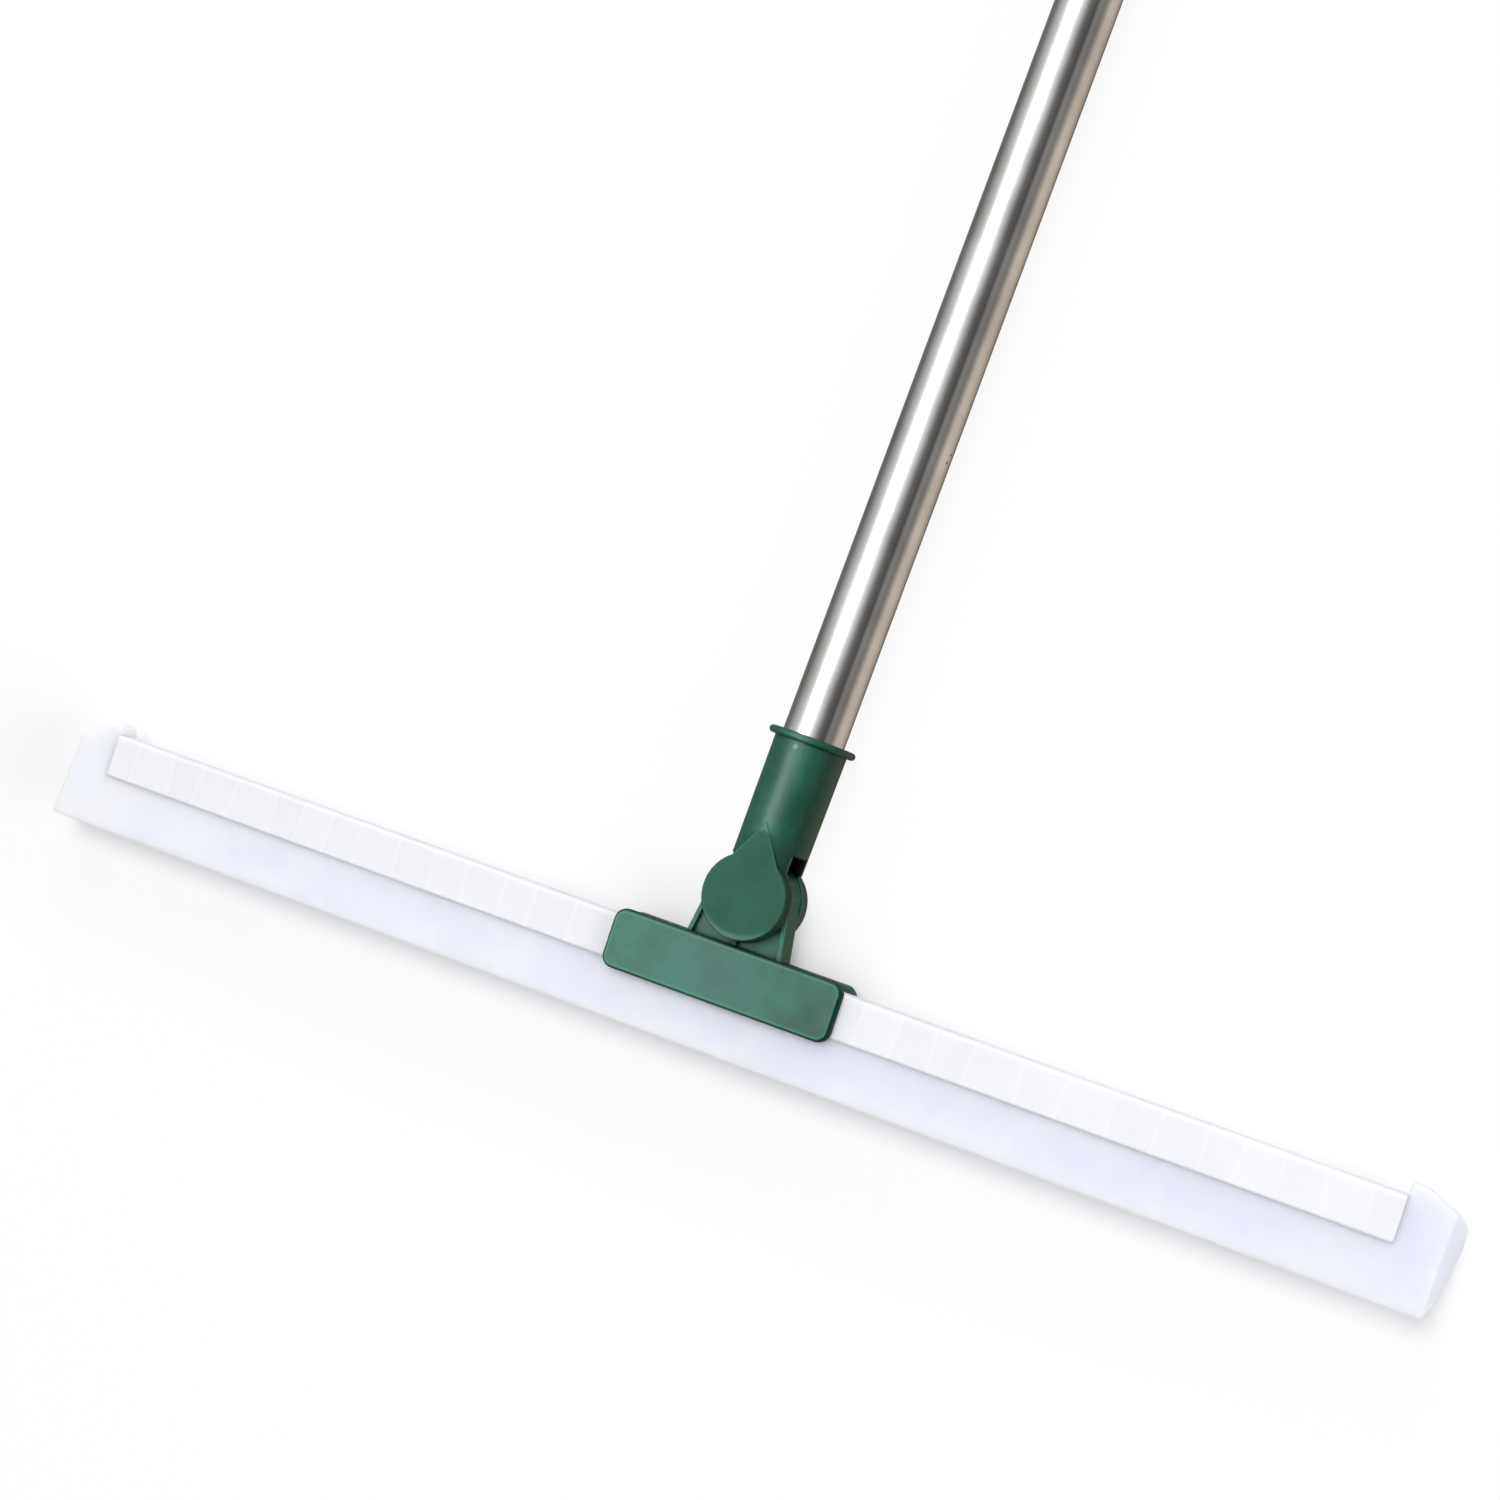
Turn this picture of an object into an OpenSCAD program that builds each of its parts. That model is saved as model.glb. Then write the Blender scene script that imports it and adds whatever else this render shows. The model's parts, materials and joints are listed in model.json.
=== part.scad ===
// Floor squeegee: a foam blade in a white rail, gripped by a two-jaw clamp whose tongue
// swivels in the fork of the handle's socket.
// It lies on its back: blade along X, handle along Y, front face up along +Z.

/* [Handle] */
// Outside diameter of the steel tube
tube_d = 22; // [18:0.5:28]
// Wall of the steel tube
tube_wall = 0.6; // [0.4:0.1:1.5]
// Length of the steel tube
tube_len = 1150; // [400:10:1500]
// Lean of the handle from square to the blade, in degrees
lean = 2; // [-8:0.5:8]

/* [Hang cap] */
// Wall of the cap's skirt round the tube
cap_wall = 1.6; // [1:0.1:3]
// Length of the skirt
cap_skirt = 32; // [15:1:60]
// Thickness of the cap's end over the tube
cap_end = 3; // [2:0.5:6]
// Bevel round the cap's end
cap_bevel = 1.5; // [0.5:0.5:1.5]
// Width of the hanging eye
eye_w = 20; // [16:1:26]
// Thickness of the hanging eye
eye_t = 8; // [5:0.5:12]
// Cap's end to the middle of the hanging hole
eye_rise = 11; // [8:1:20]
// Diameter of the hanging hole
hang_d = 9; // [5:0.5:11]

/* [Socket] */
// Wall of the socket under its flange
mouth_wall = 1.75; // [1.2:0.05:3]
// Wall of the socket at the fork
root_wall = 1.4; // [1:0.05:2.5]
// Hinge to the top of the flange
socket_rise = 57.9; // [50:0.1:80]
// Reach of the flange beyond the socket
flange_reach = 2.6; // [1.5:0.1:3.5]
// Thickness of the flange, which is also the diameter of its round rim
flange_t = 2.6; // [1.6:0.1:3]
// Hinge to the ledge that the tube's end rests on
seat_rise = 22.1; // [20:0.1:28]
// Width of that ledge
seat_ledge = 1.5; // [0.8:0.1:3]
// Hinge to the low end of the hollow under the ledge
hollow_rise = 12.5; // [11:0.5:16]
// Radial clearance of the tube in the socket and in the cap
tube_gap = 0.15; // [0.05:0.05:0.3]
// Lead-in at the socket's mouth
mouth_lead = 0.7; // [0.3:0.1:0.9]
// Diameter of the self-tapping screw through the back of the socket
grub_d = 3.5; // [2.5:0.5:4]
// Diameter of that screw's head
grub_head_d = 6.6; // [5.5:0.1:8]
// Height of that screw's head
grub_head_t = 1.8; // [1.2:0.1:2.4]
// How far that screw reaches past the socket's wall before its point
grub_bite = 4; // [3:0.5:6]
// Flange's top to that screw
grub_drop = 16; // [10:1:24]

/* [Fork] */
// Diameter of each cheek at the slot
cheek_d = 30.6; // [30:0.2:34]
// Diameter of each cheek's flat face, smaller by the draft of its wall
cheek_face_d = 29; // [28:0.2:29.6]
// Bevel round that face
cheek_bevel = 0.4; // [0.2:0.1:0.6]
// Hinge to the tip of the teardrop on each cheek
tip_rise = 26; // [24:0.2:27.6]
// How far the teardrop's face stands proud of the socket at its tip
tip_proud = 0.2; // [0.1:0.05:0.6]
// Half of the angle at the tip, in degrees
tip_angle = 31; // [22:1:32]
// Turn of the teardrop from the handle's axis, in degrees
tip_turn = 3; // [-4:0.5:4]
// Radius of the hollow blend from the teardrop's sides into the cheek
tip_blend = 5; // [3:0.5:14]
// How much thicker the back cheek is, to sink the bolt's head
back_more = 1.6; // [0:0.1:2]
// Hinge to the low end of the socket's cone between the cheeks
neck_rise = 9; // [6:0.5:12]
// Clearance from the cheeks down to the jaws
cheek_clear = 1.6; // [0.3:0.1:3]
// Clearance in the slot over the tongue's round top, which sets how far the head can swing
slot_clear = 2.8; // [0.4:0.1:3]
// Hinge to the top edge of the window in the socket's right wall
window_rise = 18; // [16:0.1:19]
// Height of the window
window_h = 6.4; // [4:0.2:6.6]
// Width of the window
window_w = 7; // [5:0.2:9]
// Middle of the window in front of the handle's axis
window_z = 4; // [0:0.1:4.5]

/* [Hinge] */
// Diameter of the bolt's shank
bolt_d = 5; // [4:0.5:6]
// Diameter of the bolt's head
bolt_head_d = 9; // [8:0.5:11]
// Height of the bolt's head
bolt_head_t = 3; // [2:0.5:3.5]
// Width across the flats of the nut
nut_af = 8; // [7.5:0.5:10]
// Thickness of the nut
nut_t = 4; // [3:0.5:4.5]
// Outside diameter of the friction washers
washer_d = 14; // [11:0.5:17]
// Thickness of a friction washer
washer_t = 0.6; // [0.3:0.1:1]
// Running clearance: radial at the bolt, axial at each washer
hinge_gap = 0.08; // [0.03:0.01:0.1]
// Clearance round heads, nuts and bosses that stay still
seat_gap = 0.2; // [0.1:0.05:0.4]

/* [Tongue] */
// Thickness of the tongue
tongue_t = 12; // [9:0.2:12.4]
// Thickness of the web between the ribs
web_t = 8; // [3:0.5:9]
// Radius of the tongue's round top about the hinge
tongue_r = 14.8; // [14.2:0.2:17]
// Width of the tongue at its base
tongue_base = 34.8; // [32:0.2:37]
// Slope of the tongue's sides, in degrees
tongue_slope = 9; // [4:1:11]
// Width of the ribs along the edges
rib_w = 1.5; // [1.2:0.1:3]
// Diameter of the hub round the bolt
hub_d = 18; // [14:0.5:20]

/* [Clamp] */
// Length of the front jaw along the blade
jaw_w = 84.4; // [80:0.2:110]
// How much longer the back jaw is than the front one
back_jaw_more = 1; // [0:0.1:4]
// Height of a jaw
jaw_h = 20.9; // [18:0.1:28]
// Thickness of a jaw
jaw_t = 4.1; // [3.6:0.1:6]
// Radius of the jaw's corners
jaw_r = 4.2; // [2.5:0.1:6]
// Round on the jaw's outer rim
jaw_round = 1.2; // [0.4:0.1:1.8]
// How much lower the back jaw's top edge is than the front jaw's
back_jaw_drop = 0.5; // [0:0.1:2.6]
// Distance between the two clamp screws
screw_span = 72; // [56:1:74]
// Top edge of the jaws to the clamp screws
screw_drop = 12.5; // [10:0.5:13]
// Diameter of the clamp screws
screw_d = 4; // [3:0.5:5]
// Diameter of the screw heads
screw_head_d = 8; // [7:0.5:9]
// Height of the screw heads
screw_head_t = 2.4; // [1.6:0.1:2.6]
// Diameter of the bosses that the screws bite into
boss_d = 8; // [7:0.5:9]

/* [Rail] */
// Length of the white rail
rail_len = 482; // [300:1:900]
// Height of the rail
rail_h = 15.5; // [14.8:0.1:24]
// Thickness over the rail
rail_t = 12.8; // [10.5:0.1:16]
// Wall of the rail
rail_wall = 0.8; // [0.5:0.1:1.5]
// Front jaw's top edge to the top of the rail, which is the thickness of the tongue's ledge
rail_drop = 2.9; // [2.2:0.1:3.5]
// Shift of the blade and rail along the clamp
blade_shift = -8.5; // [-60:0.5:60]

/* [Foam] */
// Length of each foam ear beyond the rail, at the back
ear_len = 20.5; // [17:0.5:40]
// Rise of the ears above the rail
ear_rise = 4.6; // [1:0.1:8]
// Thickness of the foam at the top of the ears
ear_top_t = 9.4; // [6:0.1:14]
// Slope of the back below the ears' top, in degrees
ear_slope = 45; // [35:1:60]
// Height of the flat on the back that the blade lies on
land_h = 3.5; // [2:0.5:6]
// Foam below the rail, down to the lip
foam_below = 18.7; // [14:0.1:40]
// Rise of the lip's bevel from front to back
lip_rise = 4.8; // [2:0.1:8]
// Thickness of the foam behind the lip's bevel
lip_t = 10.6; // [6:0.1:14]
// How much shorter the ends are at the front than at the back
end_rake = 3.6; // [0:0.1:6]
// Lean of the ends, which reach furthest at the lip, in degrees
end_lean = 3; // [0:0.5:6]
// Height of the corner cut off the left ear
left_cut_h = 14.6; // [3:0.1:16]
// Length of the corner cut off the left ear
left_cut_l = 16; // [4:0.5:20]
// Height of the corner cut off the right ear
right_cut_h = 8.6; // [3:0.1:16]
// Length of the corner cut off the right ear
right_cut_l = 16; // [4:0.5:20]

/* [Hidden] */
$fn = 96;
// Overlap that joins cuts and unions cleanly
eps = 0.01;
moss = "#2f6b57";
steel = "#c3c5c6";
zinc = "#9ea3a6";
nylon = "#e9e7df";
foam_white = "#e8ebf5";
rail_white = "#f4f4f3";

// Socket and fork, measured from the hinge
bore_d = tube_d + 2 * tube_gap;
mouth_d = bore_d + 2 * mouth_wall;
root_d = bore_d + 2 * root_wall;
flange_d = mouth_d + 2 * flange_reach;
tip_share = (tip_rise - neck_rise) / (socket_rise - flange_t - neck_rise);
fork_t = root_d + (mouth_d - root_d) * tip_share + 2 * tip_proud;
slot_w = tongue_t + 2 * (washer_t + hinge_gap);
slot_r = tongue_r + slot_clear;
hollow_d = bore_d - 2 * seat_ledge;
cheek_t = (fork_t - slot_w) / 2;
grub_y = socket_rise - grub_drop;
grub_face = bore_d / 2 + root_wall / 2;

// Top of the handle
tube_top = seat_rise + tube_len;
cap_d = bore_d + 2 * cap_wall;
eye_y = tube_top + cap_end + eye_rise;

// Head, measured from the hinge
hinge_drop = cheek_d / 2 + cheek_clear;
jaw_top = -hinge_drop;
jaw_low = jaw_top - jaw_h;
rail_top = jaw_top - rail_drop;
rail_low = rail_top - rail_h;
lip_y = rail_low - foam_below;
ear_top = rail_top + ear_rise;
foam_mid_t = rail_t - 2 * rail_wall;
foam_front = foam_mid_t / 2;
foam_len = rail_len + 2 * ear_len;
screw_y = jaw_top - screw_drop;
boss_hole_d = boss_d + 2 * seat_gap;

// Height of the handle's axis over the surface that flange and foam lie on
lie_h = flange_d / 2;
// Flat on the back of the ears
land_top = ear_top - (foam_front + lie_h - ear_top_t) * tan(90 - ear_slope);
land_low = land_top - land_h;
// Place of the bend in an ear's cut corner, as a share of the cut's length and height
bend_l = 0.25;
bend_h = 0.62;
top_y = eye_y * cos(lean) + eye_w / 2;
hinge_at = [-blade_shift, -(top_y + lip_y) / 2, lie_h];

// Moves what is drawn round the hinge to its place in the part's own frame
module at_hinge() {
    translate(hinge_at) children();
}

// The same, with the handle's lean
module on_handle() {
    at_hinge() rotate([0, 0, -lean]) children();
}

// Turns an upright shape to stand along the handle
module along_handle(y = 0) {
    translate([0, y, 0]) rotate([-90, 0, 0]) children();
}

// Runs an outline in Y and Z along the blade
module along_blade(x, length) {
    translate([x, 0, 0]) rotate([90, 0, 90]) linear_extrude(length) children();
}

// Repeats a shape at both clamp screws
module at_screws() {
    for (side = [-1, 1])
        translate([side * screw_span / 2, screw_y, 0]) children();
}

module handle_tube() {
    color(steel) on_handle() difference() {
        along_handle(seat_rise) cylinder(d = tube_d, h = tube_len);
        along_handle(seat_rise - eps) cylinder(d = tube_d - 2 * tube_wall, h = tube_len + 2 * eps);
        socket_screw_hole();
    }
}

module hang_cap() {
    skirt_y = tube_top - cap_skirt;
    color(moss) on_handle() difference() {
        union() {
            along_handle(skirt_y) rotate_extrude() polygon([
                [0, 0],
                [cap_d / 2, 0],
                [cap_d / 2, cap_skirt + cap_end - cap_bevel],
                [cap_d / 2 - cap_bevel, cap_skirt + cap_end],
                [0, cap_skirt + cap_end]
            ]);
            translate([0, tube_top + cap_end / 2, -eye_t / 2]) linear_extrude(eye_t) {
                translate([-eye_w / 2, 0]) square([eye_w, eye_rise + cap_end / 2]);
                translate([0, eye_rise + cap_end / 2]) circle(d = eye_w);
            }
        }
        along_handle(skirt_y - eps) cylinder(d = bore_d, h = cap_skirt + eps);
        translate([0, eye_y, -eye_t]) cylinder(d = hang_d, h = 2 * eye_t);
    }
}

// Pointed top of a cheek's face, with a hollow blend on each side into the disc
module teardrop() {
    cheek_r = cheek_face_d / 2;
    side = min(tip_rise * sin(tip_angle), cheek_r);
    climb = sqrt(pow(cheek_r + tip_blend, 2) - pow(side + tip_blend, 2));
    line_pt = side * [cos(tip_angle), sin(tip_angle)] + climb * [-sin(tip_angle), cos(tip_angle)];
    centre = line_pt + tip_blend * [cos(tip_angle), sin(tip_angle)];
    disc_pt = centre * cheek_r / (cheek_r + tip_blend);
    difference() {
        polygon([
            [0, tip_rise],
            line_pt,
            disc_pt,
            [0, 0],
            [-disc_pt.x, disc_pt.y],
            [-line_pt.x, line_pt.y]
        ]);
        for (way = [-1, 1])
            translate([way * centre.x, centre.y]) circle(tip_blend);
    }
}

// Cheek in front of the slot: the teardrop's top and a disc whose wall has draft
module cheek(thick) {
    translate([0, 0, slot_w / 2]) {
        linear_extrude(thick) rotate(tip_turn) teardrop();
        rotate_extrude() polygon([
            [0, 0],
            [cheek_d / 2, 0],
            [cheek_face_d / 2 + cheek_bevel, thick - cheek_bevel],
            [cheek_face_d / 2, thick],
            [0, thick]
        ]);
    }
}

// Tapered socket with a round-rimmed flange at its mouth
module socket_body() {
    flange_low = socket_rise - flange_t;
    rotate_extrude() {
        polygon([[0, neck_rise], [root_d / 2, neck_rise], [mouth_d / 2, flange_low], [0, flange_low]]);
        translate([0, flange_low]) square([flange_d / 2 - flange_t / 2, flange_t]);
        translate([flange_d / 2 - flange_t / 2, flange_low + flange_t / 2])
            circle(d = flange_t, $fn = 48);
    }
}

// Slot that the tongue swings in, with a round closed end
module tongue_slot() {
    translate([0, 0, -slot_w / 2]) linear_extrude(slot_w) {
        circle(slot_r);
        translate([-cheek_d, -cheek_d]) square([2 * cheek_d, cheek_d]);
    }
}

// Hole for the self-tapping screw, from the back into the tube
module socket_screw_hole() {
    translate([0, grub_y, -flange_d]) cylinder(d = grub_d + 2 * hinge_gap, h = flange_d);
}

module socket_fork() {
    color(moss) on_handle() difference() {
        union() {
            along_handle() socket_body();
            cheek(cheek_t);
            mirror([0, 0, 1]) cheek(cheek_t + back_more);
        }
        along_handle(seat_rise) cylinder(d = bore_d, h = socket_rise);
        along_handle(socket_rise - 2 * mouth_lead)
            cylinder(d1 = bore_d, d2 = bore_d + 2 * mouth_lead, h = 2 * mouth_lead + eps);
        along_handle(hollow_rise) cylinder(d = hollow_d, h = seat_rise - hollow_rise + eps);
        tongue_slot();
        translate([0, window_rise - window_h, window_z - window_w / 2])
            cube([cheek_d, window_h, window_w]);
        // Bolt's way in from the back, and the nut's pocket behind the plain front cheek
        translate([0, 0, -fork_t]) cylinder(d = bolt_d + 2 * hinge_gap, h = fork_t);
        translate([0, 0, -fork_t])
            cylinder(d = bolt_head_d + 2 * seat_gap, h = fork_t / 2 + bolt_head_t);
        translate([0, 0, slot_w / 2 - eps])
            cylinder(d = (nut_af + 2 * seat_gap) / cos(30), h = nut_t + eps, $fn = 6);
        socket_screw_hole();
        translate([0, grub_y, -flange_d])
            cylinder(d = grub_head_d + 2 * seat_gap, h = flange_d - grub_face);
    }
}

module socket_screw() {
    color(zinc) on_handle() translate([0, grub_y, -grub_face]) {
        translate([0, 0, -grub_head_t]) cylinder(d = grub_head_d, h = grub_head_t);
        translate([0, 0, -eps]) cylinder(d = grub_d, h = grub_bite);
        translate([0, 0, grub_bite - eps]) cylinder(d1 = grub_d, d2 = grub_d / 4, h = grub_d);
    }
}

module hinge_bolt() {
    head_z = -fork_t / 2 + bolt_head_t;
    color(zinc) on_handle() difference() {
        union() {
            translate([0, 0, head_z - bolt_head_t]) cylinder(d = bolt_head_d, h = bolt_head_t);
            translate([0, 0, head_z - eps]) cylinder(d = bolt_d, h = slot_w / 2 + nut_t - head_z);
        }
        // Hexagon drive, half as deep as the head
        translate([0, 0, head_z - bolt_head_t - eps])
            cylinder(d = bolt_head_d / 2, h = bolt_head_t / 2 + eps, $fn = 6);
    }
}

module hinge_nut() {
    color(zinc) on_handle() translate([0, 0, slot_w / 2]) difference() {
        cylinder(d = nut_af / cos(30), h = nut_t, $fn = 6);
        translate([0, 0, -eps]) cylinder(d = bolt_d + 2 * hinge_gap, h = nut_t + 2 * eps);
    }
}

// Friction washer, drawn on the front cheek's side
module washer() {
    translate([0, 0, slot_w / 2 - washer_t]) difference() {
        cylinder(d = washer_d, h = washer_t);
        translate([0, 0, -eps]) cylinder(d = bolt_d + 2 * hinge_gap, h = washer_t + 2 * eps);
    }
}

module front_washer() {
    color(nylon) on_handle() washer();
}

module back_washer() {
    color(nylon) on_handle() mirror([0, 0, 1]) washer();
}

// Corners of a jaw's outline
module jaw_outline(width, top_y, inset) {
    for (x = [-1, 1])
        for (y = [jaw_low + jaw_r, top_y - jaw_r])
            translate([x * (width / 2 - jaw_r), y]) circle(jaw_r - inset, $fn = 32);
}

// Jaw plate whose outer rim is rounded in four steps
module jaw_plate(width, top_y) {
    translate([0, 0, rail_t / 2]) hull() {
        linear_extrude(jaw_t - jaw_round) jaw_outline(width, top_y, 0);
        for (a = [22.5, 45, 67.5, 90])
            linear_extrude(jaw_t - jaw_round * (1 - sin(a)))
                jaw_outline(width, top_y, jaw_round * (1 - cos(a)));
    }
}

// Outline of the tongue, or of the recess inside its edge rib
module tongue_outline(inset) {
    low_w = tongue_base / 2 - inset / cos(tongue_slope);
    high_w = low_w - (tongue_r + hinge_drop) * tan(tongue_slope);
    intersection() {
        polygon([
            [-low_w, rail_top],
            [low_w, rail_top],
            [low_w, jaw_top],
            [high_w, tongue_r],
            [-high_w, tongue_r],
            [-low_w, jaw_top]
        ]);
        union() {
            circle(tongue_r - inset);
            translate([-tongue_base, rail_top]) square([2 * tongue_base, -rail_top]);
        }
    }
}

// One side's recess, which leaves edge rib, hub and centre rib standing
module tongue_recess() {
    translate([0, 0, web_t / 2]) linear_extrude(tongue_t) difference() {
        tongue_outline(rib_w);
        circle(d = hub_d);
        translate([-rib_w / 2, rail_top]) square([rib_w, -rail_top]);
    }
}

module front_jaw() {
    color(moss) at_hinge() difference() {
        union() {
            jaw_plate(jaw_w, jaw_top);
            difference() {
                translate([0, 0, -tongue_t / 2]) linear_extrude(tongue_t) tongue_outline(0);
                tongue_recess();
                mirror([0, 0, 1]) tongue_recess();
            }
            translate([-tongue_base / 2, rail_top, -rail_t / 2])
                cube([tongue_base, rail_drop, rail_t + jaw_t / 2]);
            at_screws() translate([0, 0, -rail_t / 2]) cylinder(d = boss_d, h = rail_t + jaw_t / 2);
        }
        translate([0, 0, -tongue_t]) cylinder(d = bolt_d + 2 * hinge_gap, h = 2 * tongue_t);
        at_screws() translate([0, 0, -rail_t / 2 - eps]) cylinder(d = screw_d + hinge_gap, h = rail_t);
    }
}

module back_jaw() {
    back_z = -rail_t / 2 - jaw_t;
    color(moss) at_hinge() difference() {
        mirror([0, 0, 1]) jaw_plate(jaw_w + back_jaw_more, jaw_top - back_jaw_drop);
        at_screws() translate([0, 0, back_z - eps]) {
            cylinder(d = screw_d + 2 * seat_gap, h = 2 * jaw_t);
            cylinder(d = screw_head_d + 2 * seat_gap, h = screw_head_t + eps);
        }
    }
}

module clamp_screws() {
    head_z = -rail_t / 2 - jaw_t + screw_head_t;
    color(zinc) at_hinge() at_screws() translate([0, 0, head_z]) difference() {
        union() {
            translate([0, 0, -screw_head_t]) cylinder(d = screw_head_d, h = screw_head_t);
            translate([0, 0, -eps]) cylinder(d = screw_d, h = rail_t);
        }
        // Cross recess
        for (turn = [0, 90])
            rotate([0, 0, turn]) translate([-screw_head_d / 4, -screw_d / 8, -screw_head_t - eps])
                cube([screw_head_d / 2, screw_d / 4, screw_head_t / 2 + eps]);
    }
}

module white_rail() {
    color(rail_white) at_hinge() difference() {
        along_blade(blade_shift - rail_len / 2, rail_len) difference() {
            translate([rail_low, -rail_t / 2]) square([rail_h, rail_t]);
            translate([rail_low - eps, -foam_front]) square([rail_h - rail_wall + eps, foam_mid_t]);
        }
        at_screws() translate([0, 0, -rail_t]) cylinder(d = boss_hole_d, h = 2 * rail_t);
    }
}

// Thickness of the foam's taper at a height between the lip's bevel and the flat
function taper_t(y) =
    let (low_y = lip_y + lip_rise)
    lip_t + (foam_front + lie_h - lip_t) * (y - low_y) / (land_low - low_y);

// Section of an ear, with the foam at its free thickness
module ear_section() {
    polygon([
        [lip_y, foam_front],
        [ear_top, foam_front],
        [ear_top, foam_front - ear_top_t],
        [land_top, -lie_h],
        [land_low, -lie_h],
        [lip_y + lip_rise, foam_front - lip_t]
    ]);
}

// Section between the ears, pinched flat in the rail and swelling out below the jaws
module pinched_section() {
    swell_top = jaw_low - seat_gap;
    swell_low = swell_top - (swell_top - lip_y - lip_rise) / 3;
    polygon([
        [lip_y, foam_front],
        [rail_top - rail_wall, foam_front],
        [rail_top - rail_wall, -foam_front],
        [swell_top, -foam_front],
        [swell_low, foam_front - taper_t(swell_low)],
        [lip_y + lip_rise, foam_front - lip_t]
    ]);
}

// Wedge off the corner of an ear, drawn for the left end
module ear_corner(cut_l, cut_h) {
    translate([-foam_len / 2, ear_top, -2 * lie_h]) linear_extrude(3 * lie_h)
        polygon([[-eps, eps], [-eps, -cut_h], [cut_l * bend_l, -cut_h * bend_h], [cut_l, eps]]);
}

// Slice off an end face, so that it rakes back and leans out toward the lip
module end_wedge() {
    translate([-foam_len / 2, lip_y, 0]) rotate([-90, 0, -end_lean])
        translate([0, 0, -land_h]) linear_extrude(ear_top - lip_y + 2 * land_h) polygon([
            [-ear_len, lie_h + eps],
            [0, lie_h + eps],
            [end_rake, -foam_front - eps],
            [-ear_len, -foam_front - eps]
        ]);
}

module foam_blade() {
    color(foam_white) at_hinge() translate([blade_shift, 0, 0]) difference() {
        union() {
            along_blade(-rail_len / 2, rail_len) pinched_section();
            along_blade(-foam_len / 2, ear_len) ear_section();
            along_blade(rail_len / 2, ear_len) ear_section();
        }
        ear_corner(left_cut_l, left_cut_h);
        mirror([1, 0, 0]) ear_corner(right_cut_l, right_cut_h);
        end_wedge();
        mirror([1, 0, 0]) end_wedge();
        translate([-blade_shift, 0, 0]) at_screws()
            translate([0, 0, -rail_t]) cylinder(d = boss_hole_d, h = 2 * rail_t);
    }
}

handle_tube();
hang_cap();
socket_fork();
socket_screw();
hinge_bolt();
hinge_nut();
front_washer();
back_washer();
front_jaw();
back_jaw();
clamp_screws();
white_rail();
foam_blade();
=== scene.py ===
import json
import math
import random

import bmesh
import bpy
from mathutils import Matrix, Vector


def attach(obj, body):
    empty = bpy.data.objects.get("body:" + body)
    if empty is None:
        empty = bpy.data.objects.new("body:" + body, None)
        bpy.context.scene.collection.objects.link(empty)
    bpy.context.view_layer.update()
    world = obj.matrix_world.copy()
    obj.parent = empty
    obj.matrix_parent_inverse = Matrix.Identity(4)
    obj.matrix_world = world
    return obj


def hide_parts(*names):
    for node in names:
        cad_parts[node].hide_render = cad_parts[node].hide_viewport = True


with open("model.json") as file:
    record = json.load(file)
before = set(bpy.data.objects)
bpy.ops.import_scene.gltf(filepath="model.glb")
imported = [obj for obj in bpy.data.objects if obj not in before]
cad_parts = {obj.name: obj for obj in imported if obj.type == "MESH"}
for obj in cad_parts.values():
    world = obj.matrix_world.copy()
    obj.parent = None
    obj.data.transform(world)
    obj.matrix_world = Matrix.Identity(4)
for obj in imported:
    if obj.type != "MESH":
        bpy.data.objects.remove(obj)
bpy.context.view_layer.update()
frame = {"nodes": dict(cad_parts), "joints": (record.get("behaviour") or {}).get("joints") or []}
nodes = frame["nodes"]
hinge = Vector(frame["joints"][0]["pos_m"])  # middle of the swivel, where the head's sizes start
mm = 0.001
noiseSpan = (0.3, 0.7)  # where nearly all of a noise's values lie
print("frame loaded:", len(nodes), "nodes")


# shared helpers

def hexColour(text):  # sRGB hex to linear
    parts = [int(text[i:i + 2], 16) / 255 for i in (1, 3, 5)]
    return tuple(c / 12.92 if c <= 0.04045 else ((c + 0.055) / 1.055) ** 2.4 for c in parts) + (1,)


def headPoint(x, y, z):  # millimetres from the hinge to metres in the part's frame
    return hinge + Vector((x, y, z)) * mm


def addNode(tree, kind, settings=None, inputs=None):  # a socket as an input value makes a link
    node = tree.nodes.new(kind)
    for name, value in (settings or {}).items():
        setattr(node, name, value)
    for name, value in (inputs or {}).items():
        if isinstance(value, bpy.types.NodeSocket):
            tree.links.new(value, node.inputs[name])
        else:
            node.inputs[name].default_value = value
    return node


def newMaterial(name):
    material = bpy.data.materials.new(name)
    material.use_nodes = True
    tree = material.node_tree
    tree.nodes.clear()
    return material, tree


def setRamp(node, stops):  # stops: place and linear colour
    ramp = node.color_ramp
    while len(ramp.elements) > 1:
        ramp.elements.remove(ramp.elements[-1])
    ramp.elements[0].position, ramp.elements[0].color = stops[0]
    for place, colour in stops[1:]:
        ramp.elements.new(place).color = colour
    return node


def addColourSpots(tree, place, colour, colourSpots):  # colour spots, real specks and painted light alike: millimetres from the hinge, radius, hex, strength
    for spot, radius, tint, strength in colourSpots:
        far = addNode(tree, "ShaderNodeVectorMath", {"operation": "DISTANCE"},
                      {0: place, 1: tuple(headPoint(*spot))})
        near = addNode(tree, "ShaderNodeMapRange", {"interpolation_type": "SMOOTHSTEP"},
                       {"Value": far.outputs["Value"], "From Min": radius * mm * 0.5, "From Max": radius * mm,
                        "To Min": strength, "To Max": 0})
        mix = addNode(tree, "ShaderNodeMix", {"data_type": "RGBA"},
                      {0: near.outputs["Result"], 6: colour, 7: hexColour(tint)})
        colour = mix.outputs["Result"]
    return colour


def newPiece(name, bm):
    mesh = bpy.data.meshes.new(name)
    bm.to_mesh(mesh)
    bm.free()
    piece = bpy.data.objects.new(name, mesh)
    bpy.context.scene.collection.objects.link(piece)
    return piece


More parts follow.
